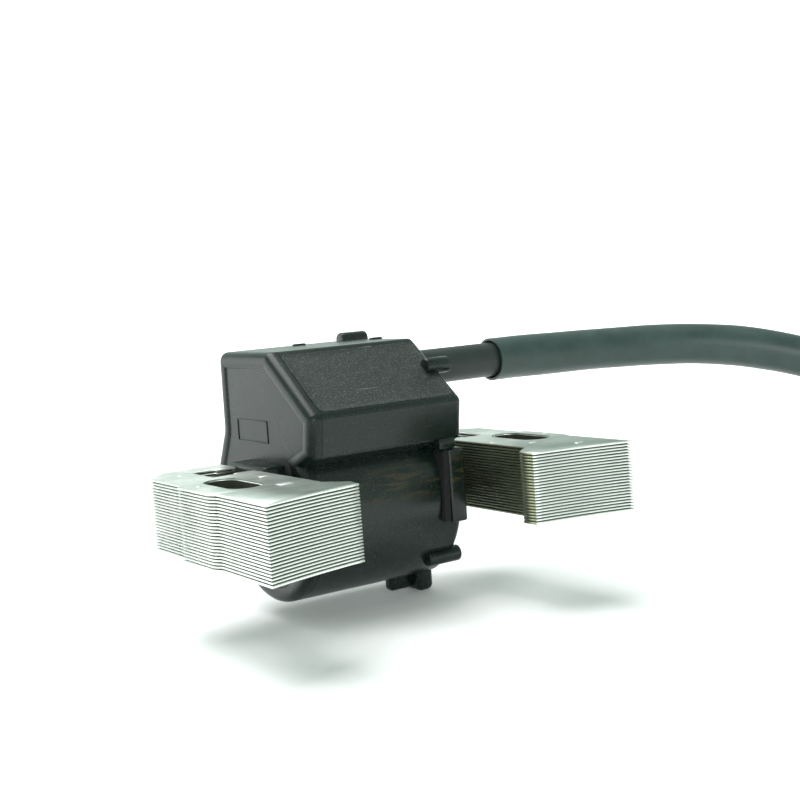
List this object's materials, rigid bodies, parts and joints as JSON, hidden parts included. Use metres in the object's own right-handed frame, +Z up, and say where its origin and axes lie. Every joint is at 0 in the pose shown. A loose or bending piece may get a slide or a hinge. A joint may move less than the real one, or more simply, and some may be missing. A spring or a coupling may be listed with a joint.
{
  "type": "ignition coil",
  "caption": "Flywheel ignition coil: U-shaped laminated core with pole tips, moulded coil module on its crossbar, and a sleeved high-tension lead with an elbow plug cap.",
  "frame": {"origin": "under the middle of the core and module, on the surface that they stand on", "axes": "+X along the crossbar from the left leg to the right leg, +Y from the pole faces to the back, +Z up through the stack"},
  "size_m": [0.27, 0.0813, 0.0496],
  "materials": {
    "lamination_steel": "bright cut edges, varnished faces",
    "bobbin_plastic": "moulded, matte",
    "copper_enamel": "enamelled wire",
    "case_plastic": "moulded, semi-matte",
    "resin": "cast, fine grain",
    "board_laminate": "solder mask",
    "component_black": "moulded package",
    "component_tan": "coated",
    "component_orange": "dipped",
    "component_red": "glass body",
    "tinned_metal": "tinned",
    "brass": "bright",
    "lead_rubber": "satin",
    "sleeve_rubber": "matte",
    "cap_rubber": "matte",
    "ceramic": "glazed"
  },
  "bodies": {
    "module": {"left_leg_laminations": "lamination_steel", "right_leg_laminations": "lamination_steel", "crossbar_laminations": "lamination_steel", "primary_bobbin": "bobbin_plastic", "primary_winding": "copper_enamel", "secondary_bobbin": "bobbin_plastic", "secondary_winding": "copper_enamel", "coil_case": "case_plastic", "end_cap": "case_plastic", "potting_resin": "resin", "circuit_board": "board_laminate", "power_transistor": "component_black", "trigger_transistor": "component_black", "resistors": "component_tan", "capacitor": "component_orange", "diodes": "component_red", "solder_pins": "tinned_metal", "hv_terminal_pin": "brass", "ground_strap": "tinned_metal", "stop_terminal": "tinned_metal", "lead_collar": "case_plastic", "ht_lead": "lead_rubber", "lead_sleeve": "sleeve_rubber"},
    "cap": {"plug_cap": "cap_rubber", "cap_resistor": "ceramic", "cap_contact_screw": "brass", "cap_terminal_clip": "brass", "cap_lead_seal": "cap_rubber", "cap_plug_seal": "cap_rubber"}
  },
  "joints": [
    {"name": "plug_swivel", "type": "hinge", "parent": "module", "child": "cap", "pos_m": [0.187, -0.014, 0.009], "axis": [0, -1, 0], "range_deg": [0, 180]}
  ]
}
